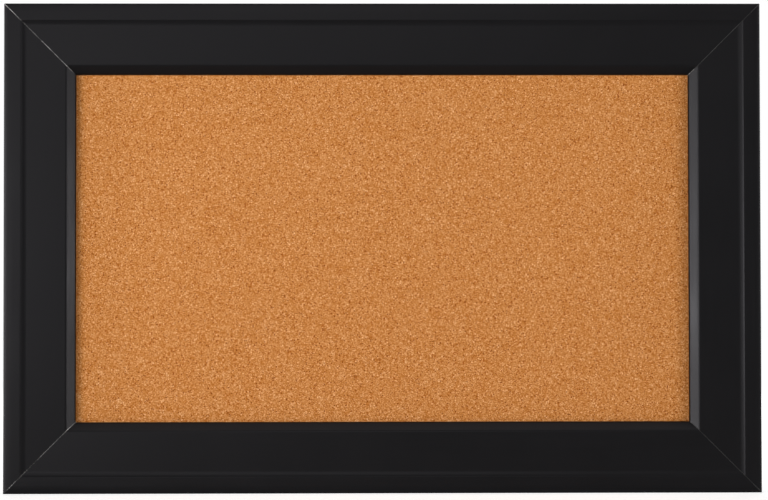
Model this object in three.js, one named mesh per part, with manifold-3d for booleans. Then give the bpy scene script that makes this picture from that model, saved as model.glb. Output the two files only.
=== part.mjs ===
// A framed cork board that hangs on a wall nail.
// Millimetres, +Z up. X runs along the width, the front faces -Y and the wall is the plane y = 0.
// The origin is the middle notch of the top hanger, where the wall nail sits, on the wall's plane.

import * as THREE from 'three';
import { mergeVertices } from 'three/addons/utils/BufferGeometryUtils.js';
import Module from 'manifold-3d';

const wasm = await Module();
wasm.setup();

// Board, over the outer sides of its frame
const BOARD_WIDTH = 431.8;
const BOARD_HEIGHT = 279.4;

// Frame moulding, across its face from the outer side to the sight edge
const ROLL_WIDTH = 5.1;
const ROLL_DROP = 0.9;
const BAND_FLAT = 4.2;
const NOSE_RADIUS = 0.7;
const COVE_WIDTH = 3.4;
const COVE_SLOPE = THREE.MathUtils.degToRad(31);
const FIELD_WIDTH = 22.4;
const FIELD_FALL = 0.5;
const ARRIS_RADIUS = 2;
const BEVEL_WIDTH = 4.9;
const BEVEL_DROP = 4.9;
const SIGHT_RADIUS = 2;
const SIGHT_EDGE = 2.4;

// Frame moulding, on its back
const RABBET_WIDTH = 6.5;
const REAR_COVER = 2.2;
const REAR_CHAMFER = 0.8;

// Panel of cork on fibreboard
const CORK_THICKNESS = 2;
const FIBREBOARD_THICKNESS = 6;
const PANEL_CLEARANCE = 1;
const GLUE_LINE = 0.3;

// Fits
const SEAT_GAP = 0.2;
const MITRE_GAP = 0.3;
const SLOT_CLEARANCE = 0.15;

// V-nails, pressed in from the back across each mitre
const V_NAIL_REACH = 3.2;
const V_NAIL_SPREAD = 8;
const V_NAIL_LIP = 1;
const V_NAIL_THICKNESS = 0.6;
const V_NAIL_HEIGHT = 10;
const V_NAIL_SINK = 0.3;
const V_NAIL_INSET = 9;

// Retaining points, driven into the rabbet wall behind the panel
const POINT_LENGTH = 15;
const POINT_WIDTH = 6.5;
const POINT_THICKNESS = 0.5;
const POINT_TIP = 3.5;
const POINT_BITE = 5;
const POINT_CORNER = 1;
const RAIL_POINT_COUNT = 4;
const STILE_POINT_COUNT = 2;

// Sawtooth hangers
const TOOTH_COUNT = 9;
const TOOTH_PITCH = 3;
const TOOTH_DEPTH = 2;
const HANGER_HEIGHT = 9;
const HANGER_THICKNESS = 0.8;
const HANGER_RISE = 1.6;
const HANGER_RAMP = 1.5;
const HANGER_TAB = 7;
const HANGER_CORNER = 2;
const HANGER_INSET = 12;

// Nails that hold the hangers
const NAIL_RADIUS = 0.6;
const NAIL_LENGTH = 10;
const NAIL_TIP = 1.6;
const NAIL_HEAD_RADIUS = 1.6;
const NAIL_HEAD_HEIGHT = 0.6;
const NAIL_HEAD_EDGE = 0.25;

// Rubber bumpers that rest on the wall
const BUMPER_RADIUS = 5;
const BUMPER_HEIGHT = 3;
const BUMPER_ROUND = 1.4;
const BUMPER_INSET = 55;

// Steps along curves, and how far a cutter runs past what it cuts
const ARC_STEPS = 5;
const MOULDING_STEPS = 8;
const NAIL_SIDES = 16;
const BUMPER_SIDES = 24;
const CUT_MARGIN = 1;

// Sizes that follow from those above
const BAND_WIDTH = ROLL_WIDTH + BAND_FLAT;
const COVE_RADIUS = COVE_WIDTH / Math.sin(COVE_SLOPE);
const FIELD_START = BAND_WIDTH + NOSE_RADIUS * Math.sin(COVE_SLOPE) + COVE_WIDTH;
const BEVEL_START = FIELD_START + FIELD_WIDTH;
const RAIL_WIDTH = BEVEL_START + BEVEL_WIDTH;
const RABBET_WALL = RAIL_WIDTH - RABBET_WIDTH;
const FIELD_DEPTH = (NOSE_RADIUS + COVE_RADIUS) * (1 - Math.cos(COVE_SLOPE));
const BEVEL_DEPTH = FIELD_DEPTH + FIELD_FALL;
const SIGHT_DEPTH = BEVEL_DEPTH + BEVEL_DROP;
const LIP_DEPTH = SIGHT_DEPTH + SIGHT_EDGE;
const PANEL_THICKNESS = CORK_THICKNESS + GLUE_LINE + FIBREBOARD_THICKNESS;
const RAIL_DEPTH = LIP_DEPTH + SEAT_GAP + PANEL_THICKNESS + SEAT_GAP + POINT_THICKNESS + REAR_COVER;
const PANEL_WIDTH = BOARD_WIDTH - 2 * (RABBET_WALL + PANEL_CLEARANCE);
const PANEL_HEIGHT = BOARD_HEIGHT - 2 * (RABBET_WALL + PANEL_CLEARANCE);
const RAIL_REAR = -(BUMPER_HEIGHT + SEAT_GAP);
const CORK_FRONT = RAIL_REAR - RAIL_DEPTH + LIP_DEPTH + SEAT_GAP;
const BRIDGE_LENGTH = TOOTH_COUNT * TOOTH_PITCH;
const HANGER_LENGTH = BRIDGE_LENGTH + 2 * (HANGER_RAMP + HANGER_TAB);
const HANGER_NAIL_PITCH = HANGER_LENGTH - HANGER_TAB;
const NOTCH_DROP = HANGER_INSET + HANGER_HEIGHT - TOOTH_DEPTH;

// Materials
function finish(color, roughness, metalness) {
  return new THREE.MeshStandardMaterial({ color, roughness, metalness });
}

const blackFoil = finish('#2a2928', 0.45, 0);
const cork = finish('#c58249', 0.95, 0);
const fibreboard = finish('#8b6c4a', 0.95, 0);
const steel = finish('#a6a8ab', 0.4, 1);
const brassPlate = finish('#c8a352', 0.35, 1);
const rubber = finish('#1d1d1e', 0.8, 0);

// Geometry helpers
function solidOf(geometry) {
  const bare = geometry.clone();
  bare.deleteAttribute('normal');
  bare.deleteAttribute('uv');
  const merged = mergeVertices(bare);
  return new wasm.Manifold(new wasm.Mesh({
    numProp: 3,
    vertProperties: new Float32Array(merged.attributes.position.array),
    triVerts: new Uint32Array(merged.index.array),
  }));
}

function geometryOf(solid) {
  const { vertProperties, triVerts } = solid.getMesh();
  const geometry = new THREE.BufferGeometry();
  geometry.setAttribute('position', new THREE.BufferAttribute(vertProperties, 3));
  geometry.setIndex(new THREE.BufferAttribute(triVerts, 1));
  geometry.computeVertexNormals();
  return geometry;
}

function piece(name, geometry, material, x = 0, y = 0, z = 0, turn = 0) {
  const mesh = new THREE.Mesh(geometry, material);
  mesh.name = name;
  mesh.position.set(x, y, z);
  mesh.rotation.y = turn;
  return mesh;
}

// An outline drawn in X and -Z, made thick along +Y.
function plate(outline, thickness) {
  const options = { depth: thickness, bevelEnabled: false, curveSegments: ARC_STEPS };
  return new THREE.ExtrudeGeometry(outline, options).rotateX(-Math.PI / 2);
}

// The outline of a strip of even thickness that follows a bent centre line.
function ribbon(line, thickness) {
  const edge = (side) => line.map((point, i) => {
    const here = Math.max(i, 1);
    const next = Math.min(i + 1, line.length - 1);
    const into = line[here].clone().sub(line[here - 1]).normalize();
    const out = line[next].clone().sub(line[next - 1]).normalize();
    const along = into.clone().add(out).normalize();
    const across = new THREE.Vector2(-along.y, along.x);
    return across.multiplyScalar(side * thickness / 2 / along.dot(into)).add(point);
  });
  return new THREE.Shape([...edge(1), ...edge(-1).reverse()]);
}

// Takes a path on to a corner and round it, so that it leaves for the next point.
function roundCorner(path, corner, next, radius) {
  const into = corner.clone().sub(path.currentPoint).normalize();
  const out = next.clone().sub(corner).normalize();
  const turn = Math.atan2(into.cross(out), into.dot(out));
  const start = corner.clone().addScaledVector(into, -radius * Math.tan(Math.abs(turn) / 2));
  const inward = new THREE.Vector2(-into.y, into.x).multiplyScalar(Math.sign(turn) * radius);
  const from = inward.clone().negate().angle();
  path.absarc(start.x + inward.x, start.y + inward.y, radius, from, from + turn, turn < 0);
}

// Moulding section: x runs in from the outer side, y runs back to the rear face at 0.
function mouldingSection() {
  const front = -RAIL_DEPTH;
  const section = new THREE.Shape();
  section.moveTo(0, -REAR_CHAMFER);
  section.lineTo(0, front + ROLL_DROP);
  section.absellipse(ROLL_WIDTH, front + ROLL_DROP, ROLL_WIDTH, ROLL_DROP, Math.PI, 1.5 * Math.PI);
  section.absarc(BAND_WIDTH, front + NOSE_RADIUS, NOSE_RADIUS, 1.5 * Math.PI, 1.5 * Math.PI + COVE_SLOPE);
  const coveFront = front + FIELD_DEPTH - COVE_RADIUS;
  section.absarc(FIELD_START, coveFront, COVE_RADIUS, Math.PI / 2 + COVE_SLOPE, Math.PI / 2, true);
  const arris = new THREE.Vector2(BEVEL_START, front + BEVEL_DEPTH);
  const sight = new THREE.Vector2(RAIL_WIDTH, front + SIGHT_DEPTH);
  const lip = new THREE.Vector2(RAIL_WIDTH, front + LIP_DEPTH);
  roundCorner(section, arris, sight, ARRIS_RADIUS);
  roundCorner(section, sight, lip, SIGHT_RADIUS);
  section.lineTo(lip.x, lip.y);
  section.lineTo(RABBET_WALL, front + LIP_DEPTH);
  section.lineTo(RABBET_WALL, 0);
  section.lineTo(REAR_CHAMFER, 0);
  return section;
}

// A length of moulding with both ends mitred, centred along Z.
function mitredMoulding(length) {
  const options = { depth: 1, bevelEnabled: false, curveSegments: MOULDING_STEPS };
  const geometry = new THREE.ExtrudeGeometry(mouldingSection(), options);
  const position = geometry.attributes.position;
  for (let i = 0; i < position.count; i += 1) {
    const end = length / 2 - position.getX(i) - MITRE_GAP / Math.SQRT2;
    position.setZ(i, position.getZ(i) > 0 ? end : -end);
  }
  return geometry;
}

// V-nails: an open V with flared lips, its point turned to the middle of the board.
const V_NAIL_PLACES = { outer: V_NAIL_INSET, inner: RABBET_WALL - V_NAIL_INSET };

function vNail(clearance, height) {
  const arm = V_NAIL_SPREAD / 2;
  const lip = arm + V_NAIL_LIP + clearance;
  const line = [
    new THREE.Vector2(-V_NAIL_REACH / 2, -lip),
    new THREE.Vector2(-V_NAIL_REACH / 2, -arm),
    new THREE.Vector2(V_NAIL_REACH / 2, 0),
    new THREE.Vector2(-V_NAIL_REACH / 2, arm),
    new THREE.Vector2(-V_NAIL_REACH / 2, lip),
  ];
  return plate(ribbon(line, V_NAIL_THICKNESS + 2 * clearance), height);
}

function vNailSlots(length) {
  const foot = -(V_NAIL_SINK + V_NAIL_HEIGHT + SLOT_CLEARANCE);
  const slots = [];
  for (const inset of Object.values(V_NAIL_PLACES)) {
    for (const end of [1, -1]) {
      const slot = vNail(SLOT_CLEARANCE, CUT_MARGIN - foot);
      slot.rotateY(end * Math.PI / 4);
      slots.push(slot.translate(inset, foot, end * (length / 2 - inset)));
    }
  }
  return slots;
}

// Retaining points: thin steel tongues with a pointed end, spread evenly along the rabbet.
function retainingPoint(clearance, thickness) {
  const half = POINT_WIDTH / 2 + clearance;
  const heel = POINT_LENGTH - POINT_BITE;
  const tip = -POINT_BITE - clearance;
  const outline = new THREE.Shape();
  outline.moveTo(tip, 0);
  outline.lineTo(tip + POINT_TIP, -half);
  outline.lineTo(heel - POINT_CORNER, -half);
  outline.absarc(heel - POINT_CORNER, POINT_CORNER - half, POINT_CORNER, -Math.PI / 2, 0);
  outline.absarc(heel - POINT_CORNER, half - POINT_CORNER, POINT_CORNER, 0, Math.PI / 2);
  outline.lineTo(tip + POINT_TIP, half);
  return plate(outline, thickness);
}

function pointPlaces(length, count) {
  const pitch = (length - 2 * RABBET_WALL) / count;
  return Array.from({ length: count }, (_, i) => (i - (count - 1) / 2) * pitch);
}

function pointSlots(length, count) {
  const foot = -(REAR_COVER + POINT_THICKNESS + SLOT_CLEARANCE);
  return pointPlaces(length, count).map((place) => {
    const slot = retainingPoint(SLOT_CLEARANCE, POINT_THICKNESS + 2 * SLOT_CLEARANCE);
    return slot.translate(RABBET_WALL, foot, place);
  });
}

// Sawtooth hanger: a strip bent up into a bridge, with notches along the edge away from the outer side.
function hangerStrip() {
  const middle = HANGER_THICKNESS / 2;
  const end = HANGER_LENGTH / 2 + CUT_MARGIN;
  const ramp = BRIDGE_LENGTH / 2 + HANGER_RAMP;
  const line = [
    new THREE.Vector2(-end, middle),
    new THREE.Vector2(-ramp, middle),
    new THREE.Vector2(-BRIDGE_LENGTH / 2, middle + HANGER_RISE),
    new THREE.Vector2(BRIDGE_LENGTH / 2, middle + HANGER_RISE),
    new THREE.Vector2(ramp, middle),
    new THREE.Vector2(end, middle),
  ];
  const options = { depth: HANGER_HEIGHT + 2 * CUT_MARGIN, bevelEnabled: false };
  const strip = new THREE.ExtrudeGeometry(ribbon(line, HANGER_THICKNESS), options);
  return strip.rotateY(Math.PI / 2).translate(-CUT_MARGIN, 0, 0);
}

function hangerOutline() {
  const end = HANGER_LENGTH / 2;
  const inner = end - HANGER_CORNER;
  const outline = new THREE.Shape();
  outline.moveTo(0, -inner);
  outline.absarc(HANGER_CORNER, -inner, HANGER_CORNER, Math.PI, 1.5 * Math.PI);
  outline.absarc(HANGER_HEIGHT - HANGER_CORNER, -inner, HANGER_CORNER, 1.5 * Math.PI, 2 * Math.PI);
  for (let i = 0; i < TOOTH_COUNT; i += 1) {
    const start = i * TOOTH_PITCH - BRIDGE_LENGTH / 2;
    outline.lineTo(HANGER_HEIGHT, start);
    outline.lineTo(HANGER_HEIGHT - TOOTH_DEPTH, start + TOOTH_PITCH / 2);
  }
  outline.lineTo(HANGER_HEIGHT, BRIDGE_LENGTH / 2);
  outline.absarc(HANGER_HEIGHT - HANGER_CORNER, inner, HANGER_CORNER, 0, Math.PI / 2);
  outline.absarc(HANGER_CORNER, inner, HANGER_CORNER, Math.PI / 2, Math.PI);
  for (const end of [-1, 1]) {
    const hole = new THREE.Path();
    const place = end * HANGER_NAIL_PITCH / 2;
    hole.absarc(HANGER_HEIGHT / 2, place, NAIL_RADIUS + SLOT_CLEARANCE, 0, 2 * Math.PI);
    outline.holes.push(hole);
  }
  return outline;
}

function hanger() {
  const blank = plate(hangerOutline(), HANGER_RISE + HANGER_THICKNESS + 2 * CUT_MARGIN);
  blank.translate(0, -CUT_MARGIN, 0);
  return geometryOf(solidOf(hangerStrip()).intersect(solidOf(blank)));
}

// Nails and bumpers are turned about Y, which points at the wall.
function hangerNail() {
  const profile = [
    new THREE.Vector2(0, -NAIL_LENGTH),
    new THREE.Vector2(NAIL_RADIUS, NAIL_TIP - NAIL_LENGTH),
    new THREE.Vector2(NAIL_RADIUS, 0),
    new THREE.Vector2(NAIL_HEAD_RADIUS, 0),
    new THREE.Vector2(NAIL_HEAD_RADIUS, NAIL_HEAD_HEIGHT - NAIL_HEAD_EDGE),
    new THREE.Vector2(NAIL_HEAD_RADIUS - NAIL_HEAD_EDGE, NAIL_HEAD_HEIGHT),
    new THREE.Vector2(0, NAIL_HEAD_HEIGHT),
  ];
  return new THREE.LatheGeometry(profile, NAIL_SIDES);
}

const NAIL_SEAT = SEAT_GAP + HANGER_THICKNESS + SEAT_GAP;

function nailHoles() {
  const radius = NAIL_RADIUS + SLOT_CLEARANCE;
  const foot = NAIL_SEAT - NAIL_LENGTH - SLOT_CLEARANCE;
  const depth = CUT_MARGIN - foot;
  return [-1, 1].map((end) => {
    const hole = new THREE.CylinderGeometry(radius, radius, depth, NAIL_SIDES);
    const place = end * HANGER_NAIL_PITCH / 2;
    return hole.translate(HANGER_INSET + HANGER_HEIGHT / 2, foot + depth / 2, place);
  });
}

function bumper() {
  const shoulder = new THREE.Path();
  shoulder.moveTo(0, 0);
  shoulder.lineTo(BUMPER_RADIUS, 0);
  shoulder.absarc(BUMPER_RADIUS - BUMPER_ROUND, BUMPER_HEIGHT - BUMPER_ROUND, BUMPER_ROUND, 0, Math.PI / 2);
  shoulder.lineTo(0, BUMPER_HEIGHT);
  return new THREE.LatheGeometry(shoulder.getPoints(ARC_STEPS), BUMPER_SIDES);
}

// One side of the frame with what is fastened to it. Inside, x runs in from the outer side, y runs back
// from the rear face and z runs along the moulding.
function frameSide(side) {
  const cutters = [...vNailSlots(side.length), ...pointSlots(side.length, side.points)];
  if (side.hanger) {
    cutters.push(...nailHoles());
  }
  const uncut = solidOf(mitredMoulding(side.length));
  const cut = cutters.reduce((solid, cutter) => solid.subtract(solidOf(cutter)), uncut);
  const moulding = new THREE.Group();
  moulding.position.set(-side.reach, RAIL_REAR, 0);
  moulding.add(piece(side.name, geometryOf(cut), blackFoil));

  for (const [row, inset] of Object.entries(V_NAIL_PLACES)) {
    const nail = vNail(0, V_NAIL_HEIGHT);
    const name = `v_nail_${side.corner}_${row}`;
    const foot = -(V_NAIL_SINK + V_NAIL_HEIGHT);
    moulding.add(piece(name, nail, steel, inset, foot, side.length / 2 - inset, Math.PI / 4));
  }

  pointPlaces(side.length, side.points).forEach((place, i) => {
    const name = `retaining_point_${side.edge}_${i + 1}`;
    const point = retainingPoint(0, POINT_THICKNESS);
    moulding.add(piece(name, point, steel, RABBET_WALL, -(REAR_COVER + POINT_THICKNESS), place));
  });

  if (side.hanger) {
    moulding.add(piece(side.hanger, hanger(), brassPlate, HANGER_INSET, SEAT_GAP));
    [-1, 1].forEach((end, i) => {
      const name = `${side.hanger}_nail_${i + 1}`;
      const place = end * HANGER_NAIL_PITCH / 2;
      moulding.add(piece(name, hangerNail(), steel, HANGER_INSET + HANGER_HEIGHT / 2, NAIL_SEAT, place));
    });
  }

  (side.bumpers ?? []).forEach((name, i) => {
    const place = (2 * i - 1) * (side.length / 2 - BUMPER_INSET);
    moulding.add(piece(name, bumper(), rubber, RABBET_WALL / 2, SEAT_GAP, place));
  });

  const turned = new THREE.Group();
  turned.rotation.y = side.turn;
  turned.add(moulding);
  return turned;
}

const STILE = { length: BOARD_HEIGHT, reach: BOARD_WIDTH / 2, points: STILE_POINT_COUNT };
const RAIL = { length: BOARD_WIDTH, reach: BOARD_HEIGHT / 2, points: RAIL_POINT_COUNT };
const SIDES = [
  {
    ...STILE,
    name: 'left_stile',
    edge: 'left',
    corner: 'top_left',
    turn: 0,
    hanger: 'side_hanger',
    bumpers: ['bumper_bottom_left', 'bumper_top_left'],
  },
  { ...RAIL, name: 'top_rail', edge: 'top', corner: 'top_right', turn: Math.PI / 2, hanger: 'top_hanger' },
  {
    ...STILE,
    name: 'right_stile',
    edge: 'right',
    corner: 'bottom_right',
    turn: Math.PI,
    bumpers: ['bumper_top_right', 'bumper_bottom_right'],
  },
  { ...RAIL, name: 'bottom_rail', edge: 'bottom', corner: 'bottom_left', turn: -Math.PI / 2 },
];

// The panel lies against the frame's lip, with the cork in front.
function panelSheet(name, thickness, front, material) {
  const sheet = new THREE.BoxGeometry(PANEL_WIDTH, thickness, PANEL_HEIGHT);
  return piece(name, sheet, material, 0, front + thickness / 2);
}

const board = new THREE.Group();
board.name = 'cork_board';
board.position.z = NOTCH_DROP - BOARD_HEIGHT / 2;
for (const side of SIDES) {
  board.add(frameSide(side));
}
board.add(panelSheet('cork_sheet', CORK_THICKNESS, CORK_FRONT, cork));
const fibreboardFront = CORK_FRONT + CORK_THICKNESS + GLUE_LINE;
board.add(panelSheet('fibreboard_backing', FIBREBOARD_THICKNESS, fibreboardFront, fibreboard));

export default board;
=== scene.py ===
"""A framed cork board: the finish of every surface, a pale studio and the camera."""

import math

import bpy
import numpy as np
from mathutils import Matrix, Vector


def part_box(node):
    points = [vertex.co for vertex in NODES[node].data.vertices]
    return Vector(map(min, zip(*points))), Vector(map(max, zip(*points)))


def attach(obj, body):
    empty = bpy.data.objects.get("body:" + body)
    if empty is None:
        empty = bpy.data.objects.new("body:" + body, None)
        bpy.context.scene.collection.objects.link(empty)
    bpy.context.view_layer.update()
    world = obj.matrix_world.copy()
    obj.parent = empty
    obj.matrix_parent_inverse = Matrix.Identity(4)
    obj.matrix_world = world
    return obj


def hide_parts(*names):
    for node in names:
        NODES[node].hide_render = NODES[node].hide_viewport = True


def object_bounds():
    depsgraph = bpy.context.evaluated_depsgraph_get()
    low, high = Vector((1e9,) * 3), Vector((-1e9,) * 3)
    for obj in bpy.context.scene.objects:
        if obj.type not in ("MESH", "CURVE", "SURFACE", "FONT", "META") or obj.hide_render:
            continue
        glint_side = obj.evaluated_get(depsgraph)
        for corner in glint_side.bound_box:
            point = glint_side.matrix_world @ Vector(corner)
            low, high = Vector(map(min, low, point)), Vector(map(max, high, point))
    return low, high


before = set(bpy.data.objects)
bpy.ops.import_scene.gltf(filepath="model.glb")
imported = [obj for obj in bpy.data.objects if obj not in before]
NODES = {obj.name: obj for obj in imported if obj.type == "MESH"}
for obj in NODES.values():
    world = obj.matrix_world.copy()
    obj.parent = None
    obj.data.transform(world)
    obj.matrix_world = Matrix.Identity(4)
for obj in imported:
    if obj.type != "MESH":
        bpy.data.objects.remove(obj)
CAD_LOW, CAD_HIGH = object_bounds()

# Millimetres to metres
MM = 0.001

# Places that follow from the frame
HALF_WIDTH = CAD_HIGH.x
HALF_HEIGHT = (CAD_HIGH.z - CAD_LOW.z) / 2
MIDDLE_HEIGHT = (CAD_HIGH.z + CAD_LOW.z) / 2
CORK_LOW, CORK_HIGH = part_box("cork_sheet")

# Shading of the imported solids
WELD = 0.001 * MM
SMOOTH_BELOW = math.radians(32)

# Sorting of the moulding's faces by the way they face
END_SLANT = 0.25
FACING = 0.5

# Mitres: the stile at each corner and the way that its mitred end faces
MITRE_CORNERS = {
    "top_left": ("left_stile", Vector((1, 0, 1)).normalized()),
    "bottom_left": ("left_stile", Vector((1, 0, -1)).normalized()),
    "top_right": ("right_stile", Vector((-1, 0, 1)).normalized()),
    "bottom_right": ("right_stile", Vector((-1, 0, -1)).normalized()),
}
SAME_WAY = 0.999
MITRE_GAP = 0.3 * MM
GLUE_CLEARANCE = 0.02 * MM

# Dried glue and chipped edges in the mitres, with a painted glint where their edges catch the light
MOULDING_WIDTH = 40.4 * MM
STREAK_FADE = 0.025
GLUE_DARK = 0.008
PATCH_FAINT = 0.4
PATCH_STRONG = 1.2
# Each streak's start and end, as shares of the moulding's width from the outer corner, and its paleness:
# glue and chipped edges with a painted glint, palest at the left corners.
# A streak that runs off an end of the mitre goes past 0 or 1.
GLUE_AND_GLINT_STREAKS = {
    "top_left": [(-0.1, 0.20, 0.30), (0.30, 0.50, 0.08), (0.52, 0.68, 0.33), (0.71, 0.95, 0.22)],
    "bottom_left": [(0.08, 0.17, 0.28), (0.26, 0.32, 0.06), (0.50, 0.84, 0.12), (0.87, 1.1, 0.33)],
    "top_right": [(-0.1, 0.10, 0.03), (0.30, 0.80, 0.028), (0.93, 1.1, 0.25)],
    "bottom_right": [(-0.1, 0.12, 0.03), (0.30, 0.75, 0.024)],
}

# Wear of the foil beside the mitres, with a painted glint on it
WEAR_AND_GLINT_END = 0.45 * MM
WEAR_AND_GLINT_FULL = 0.15 * MM
# Less shows on the right, where the painted glint fades, and it changes within this distance of the board's
# middle
WEAR_AND_GLINT_ON_RIGHT = 0.15
WEAR_AND_GLINT_CHANGE = 100 * MM

# Draw of the foil along the moulding, as a stretch of its streaks
FOIL_DRAW = 30

# Cork grains, and how far they are warped
GRANULE = 0.55 * MM
SMALL_GRANULE = 0.33 * MM
CRUMB = 0.25 * MM
SPECK = 0.95 * MM
GRAIN_WARP = 0.5

# Cork relief
CORK_SEED = 17
CORK_GRID = 0.9 * MM
CORK_RELIEF = 0.022 * MM
CORK_DEEPEST = 0.3 * MM
CORK_SHARP = math.radians(60)
# Depth of the mean level below the sheet's face, in heights of relief
CORK_LEVEL = 2.5
# Shares of fine and coarse bumps, and their reach in grid steps
FINE_SHARE = 0.9
FINE_REACH = 0.55
COARSE_SHARE = 0.4
COARSE_REACH = 1.3


def feed(tree, socket, value):
    """Links a socket to another one, or gives it a plain value."""
    if isinstance(value, bpy.types.NodeSocket):
        tree.links.new(value, socket)
    else:
        socket.default_value = value


def add_node(tree, kind, inputs=None, **settings):
    """Adds a node, with its settings and what feeds its sockets."""
    made = tree.nodes.new(kind)
    for key, value in settings.items():
        setattr(made, key, value)
    for key, value in (inputs or {}).items():
        feed(tree, made.inputs[key], value)
    return made


class Look:
    """A material, with short ways to add the nodes that its surface needs."""

    def __init__(self, name):
        self.material = bpy.data.materials.new(name)
        self.material.use_nodes = True
        self.tree = self.material.node_tree
        self.surface = self.tree.nodes["Principled BSDF"]
        self.place = self.node("ShaderNodeTexCoord").outputs["Object"]

    def node(self, kind, inputs=None, **settings):
        return add_node(self.tree, kind, inputs, **settings)

    def set(self, **sockets):
        """Feeds sockets of the surface, named with underscores for spaces."""
        for key, value in sockets.items():
            feed(self.tree, self.surface.inputs[key.replace("_", " ")], value)

    def axis(self, letter):
        """The place on the object along one axis."""
        return self.node("ShaderNodeSeparateXYZ", {"Vector": self.place}).outputs[letter]

    def scaled(self, size, stretch=(1, 1, 1)):
        """The place on the object, counted in steps of the given size."""
        steps = tuple(1 / (size * s) for s in stretch)
        return self.node("ShaderNodeVectorMath", {0: self.place, 1: steps}, operation="MULTIPLY").outputs[0]

    def noise(self, size, detail=2.0, stretch=(1, 1, 1), roughness=0.5):
        """Soft noise around 0.5."""
        place = self.scaled(size, stretch)
        inputs = {"Vector": place, "Scale": 1.0, "Detail": detail, "Roughness": roughness}
        return self.node("ShaderNodeTexNoise", inputs).outputs["Fac"]

    def cells(self, size):
        """Irregular grains: the distance from each one's middle, and its own random number."""
        place = self.scaled(size)
        swirl = self.node("ShaderNodeTexNoise", {"Vector": place, "Scale": 2.0, "Detail": 1.0})
        inputs = {0: swirl.outputs["Color"], 1: (GRAIN_WARP,) * 3}
        push = self.node("ShaderNodeVectorMath", inputs, operation="MULTIPLY").outputs[0]
        warped = self.node("ShaderNodeVectorMath", {0: place, 1: push}, operation="ADD").outputs[0]
        grain = self.node("ShaderNodeTexVoronoi", {"Vector": warped, "Scale": 1.0}, feature="F1")
        number = self.node("ShaderNodeSeparateColor", {"Color": grain.outputs["Color"]}).outputs["Red"]
        return grain.outputs["Distance"], number

    def math(self, operation, a, b=0.0):
        return self.node("ShaderNodeMath", {0: a, 1: b}, operation=operation).outputs[0]

    def blend(self, shares):
        """A weighted sum of values."""
        total = 0.0
        for value, share in shares.items():
            inputs = {0: value, 1: share, 2: total}
            total = self.node("ShaderNodeMath", inputs, operation="MULTIPLY_ADD").outputs[0]
        return total

    def remap(self, value, low, high, to_low=0.0, to_high=1.0):
        """A value between low and high, moved to between two others and kept there."""
        inputs = {"Value": value, "From Min": low, "From Max": high, "To Min": to_low, "To Max": to_high}
        return self.node("ShaderNodeMapRange", inputs).outputs["Result"]

    def mix(self, share, a, b):
        """A colour between two others."""
        made = self.node("ShaderNodeMix", {0: share}, data_type="RGBA")
        feed(self.tree, made.inputs[6], a)
        feed(self.tree, made.inputs[7], b)
        return made.outputs[2]

    def ramp(self, value, stops):
        """A colour for each value, from (position, colour) pairs."""
        made = self.node("ShaderNodeValToRGB", {"Fac": value})
        points = made.color_ramp.elements
        while len(points) < len(stops):
            points.new(1.0)
        for point, (position, shade) in zip(points, stops):
            point.position = position
            point.color = shade
        return made.outputs["Color"]

    def bump(self, height, distance):
        inputs = {"Height": height, "Distance": distance, "Strength": 1.0}
        return self.node("ShaderNodeBump", inputs).outputs["Normal"]


def grey(level):
    return (level, level, level, 1)


def colour(red, green, blue):
    return (red, green, blue, 1)


def from_side(look):
    """How far in a point lies from the nearer stile's outer side."""
    return look.math("SUBTRACT", HALF_WIDTH, look.math("ABSOLUTE", look.axis("X")))


def from_mitre(look):
    """How far a point lies from the nearest mitre's plane."""
    height = look.math("SUBTRACT", look.axis("Z"), MIDDLE_HEIGHT)
    from_end = look.math("SUBTRACT", HALF_HEIGHT, look.math("ABSOLUTE", height))
    apart = look.math("ABSOLUTE", look.math("SUBTRACT", from_side(look), from_end))
    return look.math("MULTIPLY", apart, math.sqrt(0.5))


def black_foil(name, stretch):
    """Satin black foil over the moulding, drawn out along its length, with wear and a painted glint beside
    the mitres.
    """
    look = Look(name)
    cloud = look.noise(30 * MM, 3.0)
    streak = look.noise(1.6 * MM, 2.0, stretch)
    peel = look.noise(0.7 * MM, 1.0)
    tone = look.blend({cloud: 0.5, streak: 0.5})
    stops = [
        (0.35, colour(0.0011, 0.0011, 0.0012)),
        (0.65, colour(0.0018, 0.0017, 0.0019)),
    ]
    # Beside the mitres: wear of the foil with a painted glint, fading towards the right
    beside = look.remap(from_mitre(look), WEAR_AND_GLINT_END, WEAR_AND_GLINT_FULL)
    chips = look.remap(look.noise(1.3 * MM, 3.0), 0.52, 0.62)
    glint_side = look.remap(look.axis("X"), WEAR_AND_GLINT_CHANGE, -WEAR_AND_GLINT_CHANGE, WEAR_AND_GLINT_ON_RIGHT, 1.0)
    worn_and_glint = look.math("MULTIPLY", look.math("MULTIPLY", beside, chips), glint_side)
    look.set(
        Base_Color=look.mix(worn_and_glint, look.ramp(tone, stops), colour(0.10, 0.095, 0.09)),
        Roughness=look.remap(tone, 0.35, 0.65, 0.29, 0.35),
        Specular_IOR_Level=0.109,
        Specular_Tint=colour(0.97, 0.94, 1.0),
        Normal=look.bump(peel, 0.004 * MM),
    )
    return look.material


def raw_board():
    """Bare medium-density fibreboard, where the moulding isn't wrapped."""
    look = Look("raw_board")
    speck = look.noise(0.6 * MM, 4.0, roughness=0.7)
    cloud = look.noise(14 * MM, 2.0)
    tone = look.blend({speck: 0.7, cloud: 0.3})
    stops = [
        (0.32, colour(0.22, 0.135, 0.07)),
        (0.5, colour(0.36, 0.24, 0.135)),
        (0.7, colour(0.46, 0.335, 0.205)),
    ]
    look.set(
        Base_Color=look.ramp(tone, stops),
        Roughness=look.remap(speck, 0.3, 0.7, 0.75, 0.95),
        Specular_IOR_Level=0.2,
        Normal=look.bump(speck, 0.05 * MM),
    )
    return look.material


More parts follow.
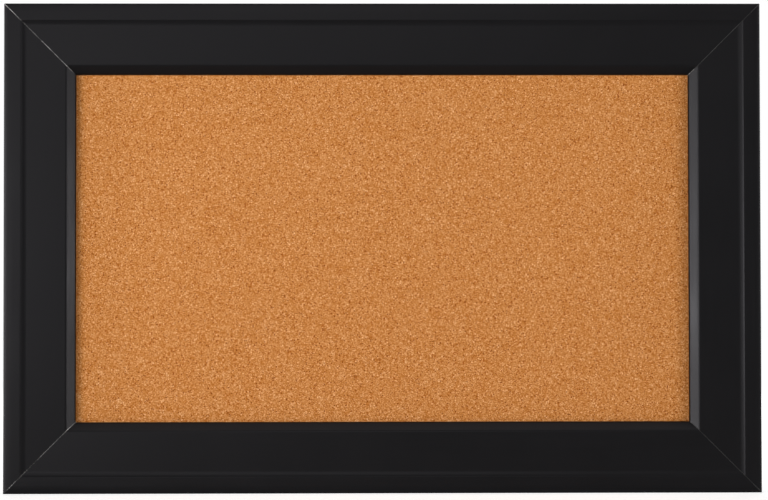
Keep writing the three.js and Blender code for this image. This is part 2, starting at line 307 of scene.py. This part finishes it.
def cork():
    """Fine agglomerated cork: tan granules of two sizes, with a few dark and pale specks among them."""
    look = Look("cork")
    middle, number = look.cells(GRANULE)
    small_middle, small_number = look.cells(SMALL_GRANULE)
    crumb = look.noise(CRUMB, 2.0, roughness=0.6)
    cloud = look.noise(40 * MM, 2.0)
    tone = look.blend({number: 0.5, small_number: 0.27, crumb: 0.2, cloud: 0.03})
    stops = [
        (0.15, colour(0.262, 0.052, 0.002)),
        (0.30, colour(0.407, 0.131, 0.018)),
        (0.50, colour(0.510, 0.197, 0.048)),
        (0.70, colour(0.617, 0.286, 0.106)),
        (0.85, colour(0.729, 0.389, 0.178)),
    ]
    speck_middle, speck_number = look.cells(SPECK)
    speck = look.remap(speck_middle, 0.5, 0.35)
    dark = look.math("MULTIPLY", speck, look.remap(speck_number, 0.12, 0.07))
    pale = look.math("MULTIPLY", speck, look.remap(speck_number, 0.92, 0.96))
    base = look.mix(dark, look.ramp(tone, stops), colour(0.220, 0.049, 0.001))
    base = look.mix(pale, base, colour(0.757, 0.430, 0.206))
    height = look.blend({crumb: 0.5, middle: -0.3, small_middle: -0.2})
    look.set(
        Base_Color=base,
        Roughness=look.remap(tone, 0.2, 0.8, 0.95, 0.8),
        Specular_IOR_Level=0.06,
        Normal=look.bump(height, 0.1 * MM),
    )
    return look.material


def soft_fibreboard():
    """Soft fibreboard with short pressed fibres."""
    look = Look("soft_fibreboard")
    across = look.noise(0.5 * MM, 3.0, (6, 1, 1))
    upright = look.noise(0.5 * MM, 3.0, (1, 1, 6))
    cloud = look.noise(40 * MM, 3.0)
    fibre = look.math("MAXIMUM", across, upright)
    tone = look.blend({fibre: 0.86, cloud: 0.14})
    stops = [
        (0.38, colour(0.13, 0.075, 0.035)),
        (0.55, colour(0.25, 0.155, 0.08)),
        (0.72, colour(0.38, 0.265, 0.15)),
    ]
    look.set(
        Base_Color=look.ramp(tone, stops),
        Roughness=look.remap(fibre, 0.3, 0.7, 0.85, 1.0),
        Specular_IOR_Level=0.1,
        Normal=look.bump(fibre, 0.12 * MM),
    )
    return look.material


def fastener_steel():
    """Bare pressed steel with faint draw marks and dull blotches."""
    look = Look("fastener_steel")
    mark = look.noise(0.4 * MM, 2.0, (8, 8, 1))
    blotch = look.noise(3 * MM, 3.0)
    stops = [
        (0.35, colour(0.34, 0.34, 0.35)),
        (0.65, colour(0.50, 0.51, 0.53)),
    ]
    look.set(
        Base_Color=look.ramp(blotch, stops),
        Metallic=1.0,
        Roughness=look.remap(mark, 0.3, 0.7, 0.30, 0.48),
        Normal=look.bump(mark, 0.01 * MM),
    )
    return look.material


def plated_brass():
    """Brass-plated spring steel, brushed and a little tarnished."""
    look = Look("plated_brass")
    brush = look.noise(0.25 * MM, 2.0, (20, 1, 1))
    tarnish = look.noise(5 * MM, 4.0)
    stops = [
        (0.35, colour(0.46, 0.28, 0.06)),
        (0.62, colour(0.66, 0.44, 0.12)),
    ]
    look.set(
        Base_Color=look.ramp(tarnish, stops),
        Metallic=1.0,
        Roughness=look.remap(brush, 0.3, 0.7, 0.24, 0.42),
        Normal=look.bump(brush, 0.006 * MM),
    )
    return look.material


def bumper_rubber():
    """Moulded black rubber with a dusty bloom."""
    look = Look("bumper_rubber")
    bloom = look.noise(2.5 * MM, 4.0)
    grain = look.noise(0.3 * MM, 2.0)
    look.set(
        Base_Color=look.ramp(bloom, [(0.4, grey(0.010)), (0.7, grey(0.022))]),
        Roughness=look.remap(bloom, 0.3, 0.7, 0.6, 0.85),
        Specular_IOR_Level=0.35,
        Normal=look.bump(grain, 0.03 * MM),
    )
    return look.material


def mitre_glue_and_glint(corner):
    """Dried glue and chipped edges in a mitre with a painted glint of its edges, patchy along its length."""
    look = Look(f"mitre_glue_and_glint_{corner}")
    stops = []
    for start, end, shade in GLUE_AND_GLINT_STREAKS[corner]:
        stops += [(start - STREAK_FADE, GLUE_DARK), (start + STREAK_FADE, shade)]
        stops += [(end - STREAK_FADE, shade), (end + STREAK_FADE, GLUE_DARK)]
    along = look.remap(from_side(look), 0.0, MOULDING_WIDTH)
    # Pale streaks along the mitre: glue and chipped edges with a painted glint
    pale = look.ramp(along, [(at, grey(shade)) for at, shade in stops if 0 <= at <= 1])
    patch = look.remap(look.noise(1.5 * MM, 3.0), 0.35, 0.6, PATCH_FAINT, PATCH_STRONG)
    look.set(
        Base_Color=look.mix(look.math("MULTIPLY", pale, patch), grey(0.004), colour(1.0, 0.99, 0.97)),
        Roughness=look.remap(patch, PATCH_FAINT, PATCH_STRONG, 0.5, 0.7),
        Specular_IOR_Level=0.2,
    )
    return look.material


def smooth_group():
    """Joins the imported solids' split corners, and shades shallow bends smoothly."""
    group = bpy.data.node_groups.new("weld_and_smooth", "GeometryNodeTree")
    group.interface.new_socket("Geometry", in_out="INPUT", socket_type="NodeSocketGeometry")
    group.interface.new_socket("Geometry", in_out="OUTPUT", socket_type="NodeSocketGeometry")
    start = add_node(group, "NodeGroupInput")
    weld = add_node(group, "GeometryNodeMergeByDistance", {"Geometry": start.outputs[0], "Distance": WELD})
    bend = add_node(group, "GeometryNodeInputMeshEdgeAngle").outputs["Unsigned Angle"]
    sharp = add_node(group, "FunctionNodeCompare", {"A": bend, "B": SMOOTH_BELOW}, operation="GREATER_THAN")
    shade = add_node(group, "GeometryNodeSetMeshNormal", {
        "Mesh": weld.outputs["Geometry"],
        "Remove Custom": True,
        "Edge Sharpness": sharp.outputs["Result"],
    })
    add_node(group, "NodeGroupOutput", {0: shade.outputs["Mesh"]})
    return group


SMOOTH = smooth_group()


def dress(name, *materials):
    """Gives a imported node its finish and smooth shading."""
    node = NODES[name]
    node.data.materials.clear()
    for material in materials:
        node.data.materials.append(material)
    modifier = node.modifiers.new("weld_and_smooth", "NODES")
    modifier.node_group = SMOOTH
    return node


def dress_moulding(name, outward, foil, bare):
    """Foil on the face and outer side of a length of moulding, bare board on its back, rabbet and ends."""
    node = dress(name, foil, bare)
    for face in node.data.polygons:
        on_end = abs(face.normal.x * face.normal.z) > END_SLANT
        on_face = face.center.y < CORK_LOW.y and face.normal.y < FACING
        on_side = face.normal.dot(outward) > FACING
        face.material_index = 0 if (on_face or on_side) and not on_end else 1


def new_piece(name, mesh, material):
    """Puts a mesh of scene.py's own on the board."""
    piece = bpy.data.objects.new(name, mesh)
    bpy.context.scene.collection.objects.link(piece)
    mesh.materials.append(material)
    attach(piece, "root")
    return piece


def smooth_field(random, shape, reach):
    """Random heights with a spread of 1, smoothed over a number of grid steps."""
    rows = np.fft.fftfreq(shape[0])[:, None]
    columns = np.fft.rfftfreq(shape[1])[None, :]
    fade = np.exp(-2 * (math.pi * reach) ** 2 * (rows ** 2 + columns ** 2))
    field = np.fft.irfft2(np.fft.rfft2(random.standard_normal(shape)) * fade, shape)
    return field / field.std()


def cork_face():
    """The cork sheet, with the relief of its granules and small pits on its face."""
    size = CORK_HIGH - CORK_LOW
    columns = round(size.x / CORK_GRID) + 1
    rows = round(size.z / CORK_GRID) + 1
    random = np.random.default_rng(CORK_SEED)
    fine = smooth_field(random, (rows, columns), FINE_REACH)
    coarse = smooth_field(random, (rows, columns), COARSE_REACH)
    relief = FINE_SHARE * fine + COARSE_SHARE * coarse
    depth = np.clip(CORK_RELIEF * (CORK_LEVEL - relief), 0, CORK_DEEPEST)
    column_places = np.linspace(CORK_LOW.x, CORK_HIGH.x, columns)
    row_places = np.linspace(CORK_LOW.z, CORK_HIGH.z, rows)
    across, up = np.meshgrid(column_places, row_places)
    points = np.stack([across, CORK_LOW.y + depth, up], axis=-1).reshape(-1, 3)
    index = np.arange(rows * columns).reshape(rows, columns)
    corners = [index[:-1, :-1], index[:-1, 1:], index[1:, 1:], index[1:, :-1]]
    quads = np.stack(corners, axis=-1).reshape(-1, 4)
    rim = np.concatenate([index[0, :-1], index[:-1, -1], index[-1, :0:-1], index[:0:-1, 0]])
    back = points[rim]
    back[:, 1] = CORK_HIGH.y
    back_rim = np.arange(len(rim)) + len(points)
    walls = np.stack([rim, back_rim, np.roll(back_rim, -1), np.roll(rim, -1)], axis=-1)
    mesh = bpy.data.meshes.new("cork_face")
    faces = quads.tolist() + walls.tolist() + [back_rim[::-1].tolist()]
    mesh.from_pydata(np.concatenate([points, back]).tolist(), [], faces)
    mesh.shade_smooth()
    mesh.set_sharp_from_angle(angle=CORK_SHARP)
    return mesh


def glue_slab(stile, outward):
    """A slab in the gap at a stile's mitred end, and flakes on walls of its slots that face the same way."""
    source = NODES[stile].data
    points = {}
    ends = []
    for face in source.polygons:
        if face.normal.dot(outward) > SAME_WAY:
            corners = [source.vertices[i].co.to_tuple() for i in face.vertices]
            ends.append([points.setdefault(corner, len(points)) for corner in corners])
    edges = [edge for end in ends for edge in zip(end, end[1:] + end[:1])]
    rim = [(a, b) for a, b in edges if (b, a) not in edges]
    count = len(points)
    near = [Vector(point) + outward * GLUE_CLEARANCE for point in points]
    far = [Vector(point) + outward * (MITRE_GAP - GLUE_CLEARANCE) for point in points]
    faces = [end[::-1] for end in ends]
    faces += [[corner + count for corner in end] for end in ends]
    faces += [[a, b, b + count, a + count] for a, b in rim]
    mesh = bpy.data.meshes.new("mitre_glue_and_glint")
    mesh.from_pydata(near + far, [], faces)
    return mesh


def finish_frame():
    level = black_foil("black_foil_level", (FOIL_DRAW, 1, 1))
    upright = black_foil("black_foil_upright", (1, 1, FOIL_DRAW))
    bare = raw_board()
    dress_moulding("top_rail", Vector((0, 0, 1)), level, bare)
    dress_moulding("bottom_rail", Vector((0, 0, -1)), level, bare)
    dress_moulding("left_stile", Vector((-1, 0, 0)), upright, bare)
    dress_moulding("right_stile", Vector((1, 0, 0)), upright, bare)
    # Each mitre's slab carries pale streaks of glue with a painted glint
    for corner, (stile, outward) in MITRE_CORNERS.items():
        new_piece(f"mitre_glue_and_glint_{corner}", glue_slab(stile, outward), mitre_glue_and_glint(corner))


def finish_panel():
    face = new_piece("cork_face", cork_face(), cork())
    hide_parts("cork_sheet")
    dress("fibreboard_backing", soft_fibreboard())


def finish_hardware():
    """Gives every other node the finish whose key is the longest one in its name."""
    looks = {"v_nail": fastener_steel(), "hanger": plated_brass(), "bumper": bumper_rubber()}
    looks["retaining_point"] = looks["v_nail"]
    looks["hanger_nail"] = looks["v_nail"]
    for name in NODES:
        kinds = [kind for kind in looks if kind in name]
        if kinds:
            dress(name, looks[max(kinds, key=len)])


# Stage, in metres
FLOOR_RADIUS = 8.0
FLOOR_STEPS = 96
FLOOR_PALE = 0.8
FLOOR_MOTTLE = 0.98
# How bright the floor shows near the board and far off
FLOOR_GLOW = 0.66
HORIZON_GLOW = 1.0
GLOW_NEAR = 0.6
GLOW_FAR = 2.4
# How bright the room shows, and how much light the room and the floor give
ROOM_WHITE = 1.0
ROOM_LIGHT = 0.04
FLOOR_LIGHT = 0.26


def seen_share(node):
    """1 where a surface is seen, straight, mirrored or through glass, and 0 where it only gives light."""
    path = node("ShaderNodeLightPath").outputs
    inputs = {0: path["Is Camera Ray"], 1: path["Is Glossy Ray"]}
    straight = node("ShaderNodeMath", inputs, operation="MAXIMUM").outputs[0]
    inputs = {0: straight, 1: path["Is Transmission Ray"]}
    return node("ShaderNodeMath", inputs, operation="MAXIMUM").outputs[0]


def floor_paper():
    """Pale paper that shows white to the eye and in reflections, and still takes a shadow."""
    look = Look("floor_paper")
    away = look.node("ShaderNodeVectorMath", {0: look.place}, operation="LENGTH").outputs["Value"]
    glow = look.remap(away, GLOW_NEAR, GLOW_FAR, FLOOR_GLOW, HORIZON_GLOW)
    mottle = look.noise(0.4, 2.0)
    look.set(
        Base_Color=look.ramp(mottle, [(0.3, grey(FLOOR_PALE * FLOOR_MOTTLE)), (0.7, grey(FLOOR_PALE))]),
        Roughness=1.0,
        Specular_IOR_Level=0.0,
        Emission_Color=grey(1.0),
        Emission_Strength=look.remap(seen_share(look.node), 0.0, 1.0, FLOOR_LIGHT, glow),
    )
    return look.material


def build_floor():
    angles = [2 * math.pi * i / FLOOR_STEPS for i in range(FLOOR_STEPS)]
    rim = [(FLOOR_RADIUS * math.cos(a), FLOOR_RADIUS * math.sin(a), CAD_LOW.z) for a in angles]
    mesh = bpy.data.meshes.new("studio_floor")
    mesh.from_pydata(rim, [], [range(FLOOR_STEPS)])
    mesh.materials.append(floor_paper())
    floor = bpy.data.objects.new("studio_floor", mesh)
    bpy.context.scene.collection.objects.link(floor)


def build_room():
    """A white room that gives the board a little light from all round."""
    room = bpy.data.worlds.new("studio_room")
    room.use_nodes = True
    tree = room.node_tree

    def node(kind, inputs=None, **settings):
        return add_node(tree, kind, inputs, **settings)

    inputs = {"Value": seen_share(node), "To Min": ROOM_LIGHT, "To Max": ROOM_WHITE}
    level = node("ShaderNodeMapRange", inputs).outputs["Result"]
    feed(tree, tree.nodes["Background"].inputs["Strength"], level)
    feed(tree, tree.nodes["Background"].inputs["Color"], grey(1.0))
    bpy.context.scene.world = room


# Softboxes, all aimed at the board's middle
# Azimuth in degrees from the front towards +X, distance from the board and height above the floor,
# the lamp's own width and height, and its radiance. Lengths are in metres.
LAMPS = {
    "left_floor": (-84, 1.7, 0.06, 0.48, 0.10, 74.4),
    "left_low": (-84, 1.7, 0.40, 0.48, 0.30, 11.2),
    "left_mid": (-53, 1.7, 0.16, 0.28, 0.30, 38.1),
    "left_quarter": (-39, 1.7, 0.16, 0.28, 0.30, 14.2),
    "left_front": (-20, 1.7, 0.16, 0.36, 0.30, 6.7),
    "front_high": (-5, 1.6, 0.78, 0.70, 0.90, 1.77),
    "right_mid": (58, 1.7, 0.36, 0.50, 0.50, 5.95),
    "right_low": (85, 1.7, 0.16, 0.60, 0.30, 16.4),
    "roof": (0, 0.25, 1.90, 1.20, 0.50, 1.67),
    "rear": (180, 1.5, 1.00, 1.60, 0.90, 3.3),
    "left_fill": (-50, 1.7, 0.30, 0.50, 0.50, 6.2),
    "right_fill": (55, 2.4, 0.36, 0.70, 0.70, 11.0),
}
# The foil doesn't mirror the fill lamps, and the sheen lamps show only as its sheen
FILL_LAMPS = ("left_fill", "right_fill")
SHEEN_LAMPS = ("front_high", "left_front")


def build_lamps():
    middle = Vector((0, CORK_LOW.y, MIDDLE_HEIGHT))
    for name, (azimuth, distance, height, width, tall, radiance) in LAMPS.items():
        angle = math.radians(azimuth)
        data = bpy.data.lights.new(name, "AREA")
        data.shape = "RECTANGLE"
        data.size = width
        data.size_y = tall
        data.energy = radiance * math.pi * width * tall
        lamp = bpy.data.objects.new(name, data)
        lamp.location.x = distance * math.sin(angle)
        lamp.location.y = middle.y - distance * math.cos(angle)
        lamp.location.z = CAD_LOW.z + height
        lamp.rotation_euler = (lamp.location - middle).to_track_quat("Z", "Y").to_euler()
        lamp.visible_camera = False
        lamp.visible_glossy = name not in FILL_LAMPS
        lamp.visible_diffuse = name not in SHEEN_LAMPS
        bpy.context.scene.collection.objects.link(lamp)


# Camera, fitted to the frame's corners in the photograph
CAMERA_PLACE = Vector((-17.3, -1422.5, -157.6)) * MM
# Pitch, yaw and roll in degrees, from looking level along +Y
CAMERA_TURN = (1.459, -0.734, -0.057)
# Focal length in pixels of a picture of this width
FOCAL_PIXELS = 2455.9
IMAGE_WIDTH = 768


def build_camera():
    data = bpy.data.cameras.new("camera")
    data.sensor_fit = "HORIZONTAL"
    data.lens = data.sensor_width * FOCAL_PIXELS / IMAGE_WIDTH
    camera = bpy.data.objects.new("camera", data)
    pitch, yaw, roll = (math.radians(a) for a in CAMERA_TURN)
    turn = Matrix.Rotation(pitch, 4, "X") @ Matrix.Rotation(yaw, 4, "Y") @ Matrix.Rotation(roll, 4, "Z")
    level = Matrix.Rotation(math.pi / 2, 4, "X")
    camera.matrix_world = Matrix.Translation(CAMERA_PLACE) @ level @ turn
    bpy.context.scene.collection.objects.link(camera)
    bpy.context.scene.camera = camera


finish_frame()
finish_panel()
finish_hardware()
build_floor()
build_room()
build_lamps()
build_camera()
bpy.context.scene.view_settings.view_transform = "Standard"

bpy.context.view_layer.update()
